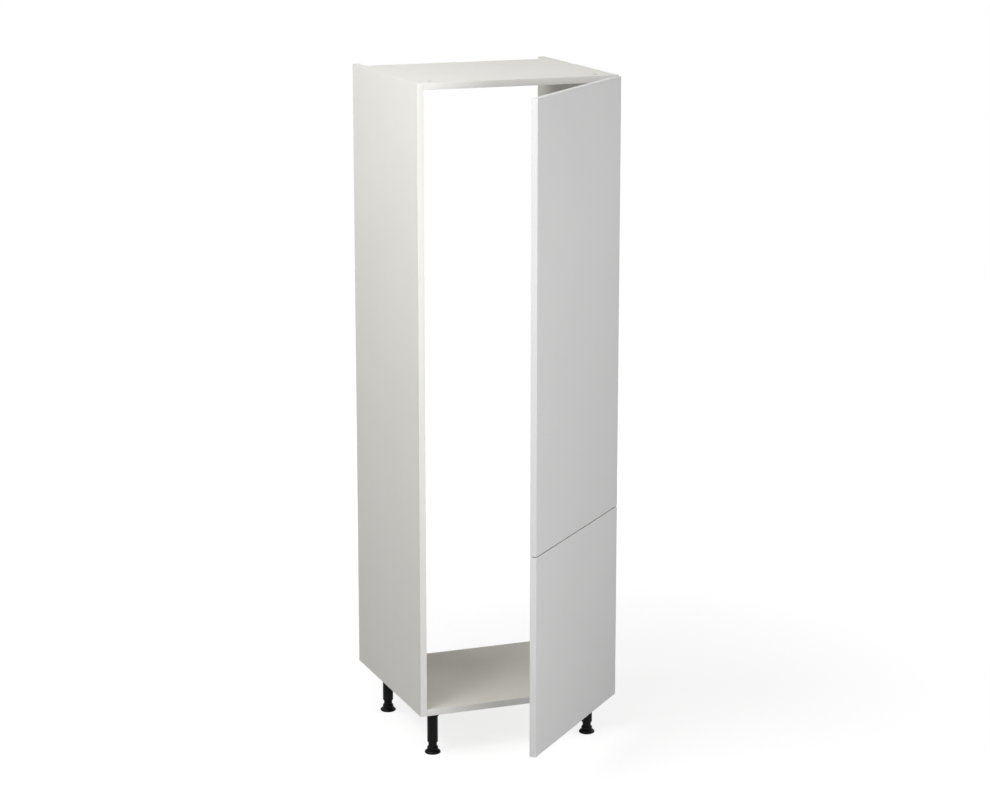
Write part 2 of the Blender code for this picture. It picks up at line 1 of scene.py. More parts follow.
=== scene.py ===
# %% [markdown]
# # A tall cabinet that houses a built-in fridge
# The real object is a kitchen cabinet of white board, 60 cm wide and almost 2 m tall, open at the back.
# A tall door and a short one hang on concealed hinges on its right side, and it stands on four black
# adjustable legs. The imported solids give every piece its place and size. This lesson dresses them: rounded
# edges that catch light, smooth turned legs, pressed hinge parts and the finish of each material.

# %% Load the frame
import bpy
import numpy as np
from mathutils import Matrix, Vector


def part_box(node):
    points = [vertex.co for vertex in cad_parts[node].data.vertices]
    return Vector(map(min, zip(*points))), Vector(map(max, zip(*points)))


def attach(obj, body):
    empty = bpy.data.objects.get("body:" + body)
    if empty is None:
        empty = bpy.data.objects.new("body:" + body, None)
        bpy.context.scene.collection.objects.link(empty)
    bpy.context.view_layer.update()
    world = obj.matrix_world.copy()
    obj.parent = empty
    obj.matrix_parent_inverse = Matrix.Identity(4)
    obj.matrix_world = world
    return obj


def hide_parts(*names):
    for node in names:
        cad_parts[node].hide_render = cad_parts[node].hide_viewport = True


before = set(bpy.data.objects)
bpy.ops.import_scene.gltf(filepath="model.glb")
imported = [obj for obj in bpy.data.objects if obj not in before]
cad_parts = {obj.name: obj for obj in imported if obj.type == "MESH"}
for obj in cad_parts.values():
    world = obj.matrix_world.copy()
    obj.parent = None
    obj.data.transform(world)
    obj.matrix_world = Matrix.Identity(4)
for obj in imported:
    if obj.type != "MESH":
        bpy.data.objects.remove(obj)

for start_item in ("Cube", "Light", "Camera"):
    if start_item in bpy.data.objects:
        bpy.data.objects.remove(bpy.data.objects[start_item])
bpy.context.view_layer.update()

# %% [markdown]
# ## Where things are
# The pieces are easiest to describe with the doors shut, as on the maker's drawing: x across from the
# middle, y back from the front, z up from the floor. The cabinet stands open in the photograph, so each
# door's pieces are then turned with the door about its hinge pins, and each hinge link with its own turn.
# One function does both turns, so a piece and its screws can't drift apart. All lengths are in metres.

# %% The drawing's origin, the hinge pins and the turns
left_box, right_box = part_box("left_side_panel"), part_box("right_side_panel")
middle_x = (left_box[0].x + right_box[1].x) / 2
drawing_origin = np.array((middle_x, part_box("left_side_edge_band")[0].y, 0.0))
arm_pin = np.array((0.2669, -0.0061))
cup_pin = np.array((0.2870, -0.0096))
door_turn, link_turn = np.radians(45.0), np.radians(-13.5)


def spin(points, angle):
    """Plan positions turned about the vertical: x cos a - y sin a, and x sin a + y cos a."""
    cos, sin = np.cos(angle), np.sin(angle)
    x, y = points[..., 0], points[..., 1]
    return np.stack([x * cos - y * sin, x * sin + y * cos], -1)


def seat(points, body):
    """Moves drawing points to where the body that carries them stands in the photograph."""
    points = np.array(points, float)
    if body.endswith("_links"):
        points[..., :2] = arm_pin + spin(points[..., :2] - arm_pin, link_turn)
    if body.endswith("_door"):
        moved_pin = arm_pin + spin(cup_pin - arm_pin, link_turn)
        points[..., :2] = moved_pin + spin(points[..., :2] - cup_pin, door_turn)
    return points + drawing_origin


print("drawing origin", drawing_origin.round(5))
print("cup pin in the room", seat((*cup_pin, 1.0), "upper_door").round(4))

# %% [markdown]
# ## Sizes that several pieces share
# The doors end 2 mm short of the carcass at its top and its bottom, with 3 mm between them. Their hinges
# sit 100 mm from each end, and the tall door has one more at its middle. Pieces that rest on or in each
# other are drawn 0.3 mm apart, so that their faces never coincide.

# %% Main sizes
seat_gap = 0.0003
carcass_top, carcass_bottom = 1.953, 0.135
door_back, door_front, door_edge = -0.002, -0.021, 0.298
door_inset, doors_gap, upper_height = 0.002, 0.003, 1.241
upper_top = carcass_top - door_inset
upper_bottom = upper_top - upper_height
lower_top = upper_bottom - doors_gap
lower_bottom = carcass_bottom + door_inset
door_spans = {"upper": (upper_bottom, upper_top), "lower": (lower_bottom, lower_top)}
hinge_inset = 0.1
hinge_heights = {
    "upper": [upper_top - hinge_inset, (upper_bottom + upper_top) / 2, upper_bottom + hinge_inset],
    "lower": [lower_top - hinge_inset, lower_bottom + hinge_inset],
}
print("doors", {door: np.round(span, 3).tolist() for door, span in door_spans.items()})
print("hinges", {door: np.round(heights, 3).tolist() for door, heights in hinge_heights.items()})

# %% [markdown]
# ## Surfaces from two parameters
# Nearly every piece here is either pressed from a flat outline or turned on a lathe. Both are one idea: a
# closed loop of points, repeated ring after ring while it shrinks, grows or moves along. So a single
# helper takes a grid of rings, joins each ring to the next with quads and closes the two ends, or joins
# the last ring to the first where the piece is a tube. Numpy works out all points at once.

# %% Rings of points into a closed mesh
crease = np.radians(40)
coarse, medium, fine = 32, 48, 96


def ring_mesh(name, rings, tube=False):
    """Quads between neighbouring rings of an array (rings, points round, 3), with flat ends unless a tube."""
    rows, around = rings.shape[:2]
    start = np.arange(rows if tube else rows - 1)[:, None] * around
    here = np.arange(around)[None, :]
    after = (here + 1) % around
    above = (start + around) % (rows * around)
    quads = np.stack([start + here, start + after, above + after, above + here], -1).reshape(-1, 4)
    faces = quads.tolist()
    if not tube:
        faces.append(np.arange(around)[::-1].tolist())
        faces.append(((rows - 1) * around + np.arange(around)).tolist())
    mesh = bpy.data.meshes.new(name)
    mesh.from_pydata(rings.reshape(-1, 3), [], faces)
    smooth = np.ones(len(faces), bool)
    smooth[len(quads):] = False
    mesh.polygons.foreach_set("use_smooth", smooth)
    mesh.set_sharp_from_angle(angle=crease)
    return mesh


def axis_up(points, axis):
    """A shape drawn up z laid along an axis: (a, b, up) becomes (up, a, b) for x and (b, up, a) for y."""
    order = {"x": (2, 0, 1), "y": (1, 2, 0), "z": (0, 1, 2)}[axis]
    return points[..., order]


def add_piece(name, mesh, body, finish, stands_for=()):
    """Puts a finished mesh into the scene, on the body that carries it."""
    item = bpy.data.objects.new(name, mesh)
    bpy.context.scene.collection.objects.link(item)
    mesh.materials.append(finish)
    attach(item, body)
    if stands_for:
        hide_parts(*stands_for)


print("faces crease at", round(np.degrees(crease)), "degrees, points round a piece", coarse, medium, fine)

# %% [markdown]
# ## Pressed shapes
# A real outline never has a knife edge: boards are edged with a small round, and sheet metal is deburred.
# The outline here is a band stretched round discs. For each direction the farthest disc carries the
# point, so corners come out round. Shrinking every disc by the same inset gives the rings of a rounded
# edge.

# %% Outlines with eased edges
def band_outline(discs, around, inset=0.0):
    """Point = centre of the disc farthest along a direction, plus (radius - inset) times the direction."""
    discs = np.array(discs, float)
    angle = 2 * np.pi * (np.arange(around) + 0.5) / around
    way = np.stack([np.cos(angle), np.sin(angle)], -1)
    far = np.argmax(way @ discs[:, :2].T + discs[:, 2], axis=1)
    return discs[far, :2] + (discs[far, 2] - inset)[:, None] * way


def edge_steps(low, high, ease, steps=5):
    """At each end, inset = ease (1 - sin a) and rise = ease (1 - cos a), with a from 0 to 90 degrees."""
    turn = np.linspace(0, np.pi / 2, steps)
    inset, rise = ease * (1 - np.sin(turn)), ease * (1 - np.cos(turn))
    return np.concatenate([inset, inset[::-1]]), np.concatenate([low + rise, (high - rise)[::-1]])


def pressed(discs, low, high, ease, body, axis="z", around=64):
    """An outline round discs carried from low to high along an axis, with eased edges."""
    rings = [np.column_stack([band_outline(discs, around, inset), np.full(around, height)])
             for inset, height in zip(*edge_steps(low, high, ease))]
    return seat(axis_up(np.array(rings), axis), body)


def corner_discs(a, b, corner):
    """The four discs in the corners of a rectangle from a to b."""
    return [(u, v, corner) for u in (a[0] + corner, b[0] - corner) for v in (a[1] + corner, b[1] - corner)]


print("an eased edge takes", len(edge_steps(0, 1, 0.1)[0]), "rings")

# %% [markdown]
# ## Turned shapes
# A turned piece is a profile of radius and height. Its corners are filleted first, as a tool's round nose
# or a mould's own edge would leave them. Legs and pins start and end a little off the axis, so that their
# ends are small flat discs.

# %% Profiles with fillets
def filleted(profile, radius, steps=5, share=0.45):
    """A corner C becomes (1-t)^2 A + 2t(1-t) C + t^2 B, with A and B on its sides, at most a share along."""
    points = np.array(profile, float)
    corner, back, on = points[1:-1], points[:-2] - points[1:-1], points[2:] - points[1:-1]
    back_length, on_length = np.linalg.norm(back, axis=1), np.linalg.norm(on, axis=1)
    back, on = back / back_length[:, None], on / on_length[:, None]
    half = np.arccos(np.clip((back * on).sum(1), -1, 1)) / 2
    reach = np.minimum(radius / np.tan(half), share * np.minimum(back_length, on_length))
    t = np.linspace(0, 1, steps)[None, :, None]
    first, last = corner + back * reach[:, None], corner + on * reach[:, None]
    bend = (1 - t) ** 2 * first[:, None] + 2 * t * (1 - t) * corner[:, None] + t ** 2 * last[:, None]
    return np.concatenate([points[:1], bend.reshape(-1, 2), points[-1:]])


def turned(profile, centre, body, axis="z", around=72):
    """A profile of (radius, height) turned round an axis: radius cos a, radius sin a, height."""
    angle = 2 * np.pi * np.arange(around) / around
    radius, height = np.array(profile, float).T
    rings = np.stack([radius[:, None] * np.cos(angle), radius[:, None] * np.sin(angle),
                      np.repeat(height[:, None], around, axis=1)], -1)
    return seat(axis_up(rings, axis) + np.array(centre, float), body)


print("a filleted square corner has", len(filleted([(1, 0), (1, 1), (0, 1)], 0.1)) - 2, "points")

# %% [markdown]
# ## Finishes
# The boards are chipboard under a white melamine film. The film is not flat white: it has a fine pearl
# grain of about half a millimetre, which breaks up highlights, and a slight drift of tone over a large face.
# The grain is a bump from small noise, and the tone and the gloss drift with large noise. The same
# recipe with other numbers gives every other material of the cabinet.

# %% A recipe for finishes
noise_range = (0.3, 0.7)


def noise_at(tree, scale, detail, stretch):
    """Noise on the object's own coordinates, with its size in waves per metre."""
    place = tree.nodes.new("ShaderNodeTexCoord")
    turn = tree.nodes.new("ShaderNodeMapping")
    turn.inputs["Scale"].default_value = stretch
    grain = tree.nodes.new("ShaderNodeTexNoise")
    grain.inputs["Scale"].default_value = scale
    grain.inputs["Detail"].default_value = detail
    tree.links.new(place.outputs["Object"], turn.inputs["Vector"])
    tree.links.new(turn.outputs["Vector"], grain.inputs["Vector"])
    return grain.outputs["Fac"]


def map_range(tree, value, source, target, shape="LINEAR"):
    """A number carried from the range source to the range target."""
    ramp = tree.nodes.new("ShaderNodeMapRange")
    ramp.interpolation_type = shape
    for label, number in zip(("From Min", "From Max", "To Min", "To Max"), (*source, *target)):
        ramp.inputs[label].default_value = number
    tree.links.new(value, ramp.inputs["Value"])
    return ramp.outputs["Result"]


def tone(tree, fac, *colours):
    """A colour that follows the noise from the first colour to the second."""
    ramp = tree.nodes.new("ShaderNodeValToRGB")
    for stop, position, colour in zip(ramp.color_ramp.elements, noise_range, colours):
        stop.position = position
        stop.color = (*colour, 1)
    tree.links.new(fac, ramp.inputs["Fac"])
    return ramp.outputs["Color"]


def surface_finish(name, dark, light, drift, rough, grain, depth, stretch=(1.0, 1.0, 1.0),
                   metallic=0.0, specular=0.5, transmission=0.0):
    """Tone and gloss drift on large noise, and a bump of fine grain that is depth metres deep."""
    finish = bpy.data.materials.new(name)
    finish.use_nodes = True
    tree = finish.node_tree
    shader = tree.nodes["Principled BSDF"]
    wide = noise_at(tree, drift, 3.0, stretch)
    small = noise_at(tree, grain, 2.0, stretch)
    tree.links.new(tone(tree, wide, dark, light), shader.inputs["Base Color"])
    tree.links.new(map_range(tree, wide, noise_range, rough), shader.inputs["Roughness"])
    bump = tree.nodes.new("ShaderNodeBump")
    bump.inputs["Strength"].default_value = 1.0
    bump.inputs["Distance"].default_value = depth
    tree.links.new(small, bump.inputs["Height"])
    tree.links.new(bump.outputs["Normal"], shader.inputs["Normal"])
    shader.inputs["Metallic"].default_value = metallic
    shader.inputs["Specular IOR Level"].default_value = specular
    shader.inputs["Transmission Weight"].default_value = transmission
    return finish


print("noise is used from", noise_range[0], "to", noise_range[1])

# %% [markdown]
# ## Board, edging, lacquer and plastic
# The base takes a creamier copy of the white melamine: its warmth is painted warm shade, for the base lies
# in the warm shade inside the cabinet. The edging's noise is drawn out upwards, as the film of the two tall
# strips is. The doors' lacquer is a neutral white, and the legs' black plastic hardly shines, so its
# reflection is turned down.

# %% Board, edging, lacquer and plastic
melamine = surface_finish(
    "white_melamine_board", dark=(0.800, 0.785, 0.735), light=(0.830, 0.815, 0.765),
    drift=5, rough=(0.40, 0.48), grain=1600, depth=0.00002, specular=0.2)
# The base's warmer, creamier tones are painted warm shade on the same white melamine as the other boards.
base_painted_warm_shade = surface_finish(
    "base_board_painted_warm_shade", dark=(0.810, 0.782, 0.700), light=(0.840, 0.812, 0.730),
    drift=5, rough=(0.40, 0.48), grain=1600, depth=0.00002, specular=0.2)
edging = surface_finish(
    "white_edging", dark=(0.880, 0.870, 0.840), light=(0.905, 0.895, 0.865),
    drift=9, rough=(0.38, 0.46), grain=900, depth=0.00001, stretch=(1, 1, 0.05))
lacquer = surface_finish(
    "white_door_lacquer", dark=(0.745, 0.745, 0.742), light=(0.775, 0.775, 0.772),
    drift=4, rough=(0.44, 0.52), grain=420, depth=0.00001)
moulded = surface_finish(
    "black_moulded_plastic", dark=(0.003, 0.003, 0.0035), light=(0.007, 0.007, 0.0075),
    drift=60, rough=(0.40, 0.54), grain=3500, depth=0.00004, specular=0.1)
print("board finishes", [f.name for f in (melamine, base_painted_warm_shade, edging, lacquer, moulded)])

# %% [markdown]
# ## Metals, beech and clear rubber
# Hinges are nickel plated: bright, but softened by handling, so the gloss drifts in patches about a
# centimetre wide. Cams are bare zinc castings with a mottled skin. Dowels are beech, with grain that
# runs along them. The door bumpers are drops of clear soft rubber.

# %% Metals, beech and rubber
nickel = surface_finish(
    "nickel_plate", dark=(0.63, 0.615, 0.59), light=(0.66, 0.645, 0.62),
    drift=90, rough=(0.24, 0.31), grain=2600, depth=0.000012, metallic=1.0)
bright_zinc = surface_finish(
    "bright_zinc_screw", dark=(0.62, 0.63, 0.64), light=(0.72, 0.73, 0.75),
    drift=300, rough=(0.22, 0.36), grain=4000, depth=0.00001, metallic=1.0)
cast_zinc = surface_finish(
    "cast_zinc", dark=(0.36, 0.36, 0.355), light=(0.50, 0.50, 0.49),
    drift=500, rough=(0.38, 0.55), grain=3000, depth=0.00004, metallic=0.9)
beech = surface_finish(
    "beech", dark=(0.52, 0.35, 0.19), light=(0.68, 0.50, 0.31),
    drift=260, rough=(0.55, 0.70), grain=900, depth=0.00006, stretch=(0.06, 1, 1))
rubber = surface_finish(
    "clear_rubber", dark=(0.80, 0.80, 0.78), light=(0.88, 0.88, 0.86),
    drift=300, rough=(0.18, 0.28), grain=1500, depth=0.00001, transmission=0.6)
print("metal, beech and rubber finishes", [f.name for f in (nickel, bright_zinc, cast_zinc, beech, rubber)])

# %% [markdown]
# ## Boards
# The sides, top and base are cut square and their shape in the solids is already true, bores and all.
# They keep their solids and take the melamine finish; the base takes its copy with painted warm shade. The
# bolts and dowels, which sit in the boards, keep their solids too.

# %% Dress the boards, bolts and dowels
def dress(node, finish):
    """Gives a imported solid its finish."""
    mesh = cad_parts[node].data
    mesh.materials.clear()
    mesh.materials.append(finish)


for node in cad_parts:
    if node.endswith("_panel"):
        # The base takes the melamine copy with painted warm shade.
        dress(node, base_painted_warm_shade if node == "base_panel" else melamine)
    elif node.endswith("_cam_bolt"):
        dress(node, bright_zinc)
    elif node.endswith("_dowel"):
        dress(node, beech)
print("dressed boards", sorted(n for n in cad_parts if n.endswith("_panel")))

# %% [markdown]
# ## Front edging
# Each board's front edge wears a strip of plastic edging, one millimetre thick, whose two long edges are
# scraped round after gluing. In the photograph this round shows as a fine bright line along every board.
# A pressed outline drawn across the strip and carried along it gives that round on all its edges.

# %% Edging on the four boards
edging_corner, edging_ease = 0.0006, 0.0004
edged_boards = ("left_side", "right_side", "top", "base")
for name in edged_boards:
    low, high = (np.array(corner) - drawing_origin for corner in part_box(f"{name}_edge_band"))
    strip = corner_discs((low[2], low[0]), (high[2], high[0]), edging_corner)
    rings = pressed(strip, low[1], high[1], edging_ease, "carcass", "y", coarse)
    add_piece(f"{name}_edging", ring_mesh(f"{name}_edging", rings), "carcass", edging,
              [f"{name}_edge_band"])
print("edging strips", len(edged_boards))

# %% [markdown]
# ## Cutting
# Holes and hollows are cut with solid cutters, as a drill or a die would. The cutters are pressed and
# turned shapes too, and the result is worked out once, so that no live modifier is left in the scene.

# %% Cutting helper
def cut(mesh, cutters):
    """The mesh less every cutter."""
    body = bpy.data.objects.new("stock", mesh)
    bpy.context.scene.collection.objects.link(body)
    tools = []
    for cutter in cutters:
        tool = bpy.data.objects.new("cutter", cutter)
        bpy.context.scene.collection.objects.link(tool)
        change = body.modifiers.new("cut", "BOOLEAN")
        change.operation, change.solver, change.object = "DIFFERENCE", "EXACT", tool
        tools.append(tool)
    ready = bpy.data.meshes.new_from_object(body.evaluated_get(bpy.context.evaluated_depsgraph_get()))
    for item in (body, *tools):
        bpy.data.objects.remove(item)
    ready.set_sharp_from_angle(angle=crease)
    return ready


print("cutting helper ready")

# %% [markdown]
# ## Doors
# A door is a plain lacquered slab, 19 mm thick, with no handle. Its edges are eased by about a
# millimetre before lacquering, so they glow softly. Its back is bored 35 mm wide for each hinge cup.
# The slab is a pressed outline, and the bores are cut with turned cutters.

# %% Doors with their bores
door_ease = 0.001
cup_x, cup_radius, cup_depth = 0.277, 0.0172, 0.0125
bore_radius, bore_floor, bore_mouth = cup_radius + seat_gap, -cup_depth - seat_gap, 0.002
bore_line = [(0, bore_floor), (bore_radius, bore_floor), (bore_radius, bore_mouth), (0, bore_mouth)]
for door, (bottom, top) in door_spans.items():
    body = f"{door}_door"
    face = corner_discs((bottom, -door_edge), (top, door_edge), door_ease)
    slab = ring_mesh(body, pressed(face, door_front, door_back, door_ease, body, "y", medium))
    bores = [ring_mesh("bore", turned(bore_line, (cup_x, door_back, z), body, "y", fine))
             for z in hinge_heights[door]]
    add_piece(f"{door}_door_slab", cut(slab, bores), body, lacquer, [body])
    print(body, "has", len(bores), "bores")

# %% [markdown]
# ## Legs
# Each leg is three mouldings in black plastic: a socket screwed under the base, a tube pushed into it, and
# a foot whose neck winds in and out of the tube. They are turned shapes, so a profile and a fillet are
# enough. The foot's wide round base, the collar that a hand or a tool turns and the ribs above it show in
# the photograph. The socket is a square plate with a short ring round the tube.

# %% Profiles of the leg's parts
foot_neck, foot_waist, foot_collar, foot_wide = 0.0128, 0.0148, 0.0160, 0.0233
rib_low, rib_pitch, rib_depth, pole = 0.020, 0.0015, 0.0009, 0.002
foot_line = [(pole, 0.0), (0.0212, 0.0), (foot_wide, 0.0018), (foot_wide, 0.0045), (0.0204, 0.0084),
             (0.0158, 0.0100), (foot_waist, 0.0110), (foot_collar, 0.0122), (foot_collar, 0.0188),
             (foot_waist, rib_low)]
foot_line += [(foot_neck - rib_depth * (i % 2 == 0), rib_low + rib_pitch * i) for i in range(9)]
foot_line += [(foot_neck, 0.0335), (foot_neck, 0.062), (pole, 0.062)]

plate_thickness, plate_half, plate_corner, plate_ease = 0.004, 0.032, 0.008, 0.0006
plate_top = carcass_bottom - seat_gap
plate_bottom = plate_top - plate_thickness

tube_radius, tube_inner, tube_bottom, tube_chamfer = 0.0155, 0.0131, 0.034, 0.0008
tube_top = plate_bottom - seat_gap
tube_line = [(tube_inner, tube_top), (tube_inner, tube_bottom), (tube_radius - tube_chamfer, tube_bottom),
             (tube_radius, tube_bottom + tube_chamfer), (tube_radius, tube_top)]

ring_outer, ring_chamfer, ring_height = 0.0190, 0.0004, 0.016
flare_width, flare_drop, ring_overlap = 0.0025, 0.002, 0.001
ring_inner = tube_radius + seat_gap
ring_low, ring_high = plate_bottom - ring_height, plate_bottom + ring_overlap
foot_fillet, tube_fillet, ring_fillet = 0.0007, 0.0006, 0.0008
ring_line = [(ring_inner, ring_high), (ring_inner, ring_low), (ring_outer - ring_chamfer, ring_low),
             (ring_outer, ring_low + ring_chamfer), (ring_outer, plate_bottom - flare_drop),
             (ring_outer + flare_width, ring_high)]
print("profile points: foot", len(foot_line), "tube", len(tube_line), "ring", len(ring_line))

# %% Build the four legs
leg_x, front_leg_y, rear_leg_y = 0.243, 0.060, 0.459
legs = {"front_left": (-leg_x, front_leg_y), "front_right": (leg_x, front_leg_y),
        "rear_left": (-leg_x, rear_leg_y), "rear_right": (leg_x, rear_leg_y)}
for leg, (x, y) in legs.items():
    foot = turned(filleted(foot_line, foot_fillet), (x, y, 0), f"{leg}_foot")
    add_piece(f"{leg}_foot_moulding", ring_mesh(leg, foot), f"{leg}_foot", moulded,
              [f"{leg}_foot"])
    tube = turned(filleted(tube_line, tube_fillet), (x, y, 0), "carcass")
    add_piece(f"{leg}_tube_moulding", ring_mesh(leg, tube, True), "carcass", moulded,
              [f"{leg}_leg_tube"])
    square = corner_discs((x - plate_half, y - plate_half), (x + plate_half, y + plate_half), plate_corner)
    plate = pressed(square, plate_bottom, plate_top, plate_ease, "carcass")
    add_piece(f"{leg}_socket_plate", ring_mesh(leg, plate), "carcass", moulded,
              [f"{leg}_leg_socket"])
    ring = turned(filleted(ring_line, ring_fillet), (x, y, 0), "carcass")
    add_piece(f"{leg}_socket_ring", ring_mesh(leg, ring, True), "carcass", moulded)
print("legs", list(legs))

# %% [markdown]
# ## Screws and cams
# A screw head with a cross recess is a surface over a disc: the height falls towards the rim like a shallow
# dome, and drops in two crossed bars. The corner cams are the same surface, flat, wider and let into the
# board, with a deeper cross. In the photograph they are the two small marks on the cabinet's top.

# %% Heads with a cross recess
screw_head = {"radius": 0.0034, "height": 0.0013, "dome": 0.0007, "arm": 0.0019, "deep": 0.0008}
cam_head = {"radius": 0.0072, "height": 0.0125, "dome": 0.0, "arm": 0.0050, "deep": 0.0020}


def crossed_head(place, axis, sense, body, radius, height, dome, arm, deep):
    """Height over the disc = height - dome (r / radius)^2 - deep times the cross, with a plain rim below."""
    around, steps, centre_share = 72, 16, 0.04
    angle = 2 * np.pi * np.arange(around) / around
    share = np.linspace(centre_share, 1, steps)[::-1, None]
    x, y = radius * share * np.cos(angle), radius * share * np.sin(angle)
    half_width, fade = arm * 0.24, arm * 0.12

    def bar(along, across):
        """One where a point lies in a bar of length 2 arm and width arm / 2, fading over its edges."""
        in_length = np.clip((arm - np.abs(along)) / fade, 0, 1)
        return in_length * np.clip((half_width - np.abs(across)) / fade + 0.5, 0, 1)

    z = height - dome * share ** 2 - deep * np.maximum(bar(x, y), bar(y, x))
    rim = np.stack([radius * np.cos(angle), radius * np.sin(angle), np.zeros(around)], -1)
    rings = np.concatenate([rim[None], np.stack([x, y, z], -1)])
    rings[..., 2] *= sense
    rings = rings if sense > 0 else rings[::-1]
    return seat(axis_up(rings, axis) + np.array(place, float), body)


def add_screw(name, place, axis, sense, body):
    """A bright screw head that sits at a place and looks along an axis, or against it with sense -1."""
    head = crossed_head(place, axis, sense, body, **screw_head)
    add_piece(name, ring_mesh(name, head), body, bright_zinc)


print("screw head", screw_head)

# %% Cams and leg screws
cam_x, cam_sunk, leg_screw_out = 0.247, 0.0127, 0.024
for board, face, sense, line in (("top", carcass_top, 1, 0.045), ("base", carcass_bottom, -1, 0.130)):
    for side, sign in (("left", -1), ("right", 1)):
        name = f"{board}_{side}_cam_face"
        cam = crossed_head((sign * cam_x, line, face - sense * cam_sunk), "z", sense, "carcass", **cam_head)
        add_piece(name, ring_mesh(name, cam), "carcass", cast_zinc,
                  [f"{board}_{side}_cam_lock"])
for leg, (x, y) in legs.items():
    for number, (u, v) in enumerate(((-1, -1), (-1, 1), (1, -1), (1, 1)), 1):
        place = (x + u * leg_screw_out, y + v * leg_screw_out, plate_bottom)
        add_screw(f"{leg}_socket_screw_{number}", place, "z", -1, "carcass")
print("cams", 4, "leg screws", 4 * len(legs))

# %% [markdown]
# ## Hinge plates and arms
# A concealed hinge has four visible parts. A winged plate is screwed to the cabinet side, and a channel of
# pressed steel, the arm, straddles its block. A bowed link joins the arm's nose to a round cup that is let
# into the door. Each part is a pressed outline at its true size, cut where the real one is hollow.

# %% Sizes of plate and arm
pin_radius, pin_end = 0.0015, 0.0004
side_inner, plate_line = 0.281, 0.037
wing_radius, wing_offset, wing_face = 0.009, 0.016, side_inner - 0.0021
web_x, open_x = side_inner - 0.017, side_inner - 0.005
block_face, block_back = web_x + 0.0018, side_inner - 0.0012
block_front_y, block_rear_y, block_half, block_corner = 0.024, 0.060, 0.0052, 0.0010
steel, nose_radius, arm_front_y, arm_rear_y = 0.0015, 0.0029, 0.006, 0.0645
arm_half, hollow_half, hollow_corner, arm_screw_y = 0.007, 0.0055, 0.0008, 0.050
metal_ease, hollow_ease = 0.0004, 0.0005
arm_discs = [(*arm_pin, nose_radius), (web_x + steel, arm_rear_y, steel), (open_x - steel, arm_rear_y, steel),
             (open_x - steel, arm_front_y, steel)]
past, before_y, beyond_y, mouth_depth, mouth_rear_y = 0.01, -0.02, 0.08, 0.004, 0.002
channel_discs = corner_discs((web_x + steel, before_y), (open_x + past, beyond_y), hollow_corner)
mouth_discs = corner_discs((web_x - past, before_y), (web_x + mouth_depth, mouth_rear_y), hollow_corner)
arm_pin_half = 0.0071


def pin_line(half):
    """The profile of a pin of a half length."""
    return [(pin_end, -half), (pin_radius, -half), (pin_radius, half), (pin_end, half)]


def hollow(name, discs, z):
    """A cutter for the inside of an arm, from its lower flange to its upper one."""
    rings = pressed(discs, z - hollow_half, z + hollow_half, hollow_ease, "carcass", around=coarse)
    return ring_mesh(name, rings)


print("arm from web to open side", round(open_x - web_x, 4), "m")

# %% Plates and arms on the cabinet side
for door, heights in hinge_heights.items():
    for number, z in enumerate(heights, 1):
        tag = f"{door}_hinge_{number}"
        wings = [(plate_line, z - wing_offset, wing_radius), (plate_line, z + wing_offset, wing_radius)]
        wing = pressed(wings, wing_face, side_inner - seat_gap, metal_ease, "carcass", "x")
        add_piece(f"{tag}_plate_wings", ring_mesh(tag, wing), "carcass", nickel,
                  [f"{door}_mounting_plate_{number}"])
        block = corner_discs((block_front_y, z - block_half), (block_rear_y, z + block_half), block_corner)
        block = pressed(block, block_face, block_back, metal_ease, "carcass", "x")
        add_piece(f"{tag}_plate_block", ring_mesh(tag, block), "carcass", nickel)
        arm = pressed(arm_discs, z - arm_half, z + arm_half, metal_ease, "carcass", around=fine)
        hollows = [hollow("channel", channel_discs, z), hollow("mouth", mouth_discs, z)]
        add_piece(f"{tag}_arm_channel", cut(ring_mesh(tag, arm), hollows), "carcass", nickel,
                  [f"{door}_hinge_arm_{number}"])
        pin = turned(pin_line(arm_pin_half), (*arm_pin, z), "carcass", around=coarse)
        add_piece(f"{tag}_arm_pin", ring_mesh(tag, pin), "carcass", bright_zinc)
        for side, offset in (("low", -wing_offset), ("high", wing_offset)):
            place = (wing_face, plate_line, z + offset)
            add_screw(f"{tag}_plate_screw_{side}", place, "x", -1, "carcass")
        add_screw(f"{tag}_arm_screw", (web_x - seat_gap, arm_screw_y, z), "x", -1, "carcass")
print("plates and arms", sum(len(h) for h in hinge_heights.values()))

# %% [markdown]
# ## Links
# The link is bowed so that it can swing round the cup's rim as the door opens. Its outline is a curve
# between the two pins with a width that swells into an eye at each end, and each eye is bored for its pin.

# %% Links
link_half, link_ease, bow = 0.005, 0.0003, 0.007
eye_radius, waist, eye_bore, bore_half = 0.0026, 0.0010, 0.0018, 0.006
eye_line = [(0, -bore_half), (eye_bore, -bore_half), (eye_bore, bore_half), (0, bore_half)]


def link_rings(z, body):
    """Middle = (1-t)^2 arm pin + 2t(1-t) bulge + t^2 cup pin; half width = waist + (eye - waist)|2t-1|^3."""
    along = (cup_pin - arm_pin) / np.linalg.norm(cup_pin - arm_pin)
    bulge = (arm_pin + cup_pin) / 2 + np.array((along[1], -along[0])) * bow
    t = np.linspace(0, 1, 25)[:, None]
    spot = arm_pin * (1 - t) ** 2 + bulge * 2 * t * (1 - t) + cup_pin * t ** 2
    heading = (bulge - arm_pin) * (1 - t) + (cup_pin - bulge) * t
    heading = heading / np.linalg.norm(heading, axis=1)[:, None]
    side = np.stack([-heading[:, 1], heading[:, 0]], -1)
    width = waist + (eye_radius - waist) * np.abs(2 * t - 1) ** 3
    turn = np.pi * np.arange(1, 12)[:, None] / 12
    rings = []
    for inset, height in zip(*edge_steps(z - link_half, z + link_half, link_ease, 4)):
        eye = eye_radius - inset
        end_cap = cup_pin + eye * (side[-1] * np.cos(turn) + heading[-1] * np.sin(turn))
        start_cap = arm_pin + eye * (-side[0] * np.cos(turn) - heading[0] * np.sin(turn))
        left, right = spot + side * (width - inset), spot - side * (width - inset)
        outline = np.concatenate([left, end_cap, right[::-1], start_cap])[::-1]
        rings.append(np.column_stack([outline, np.full(len(outline), height)]))
    return seat(np.array(rings), body)


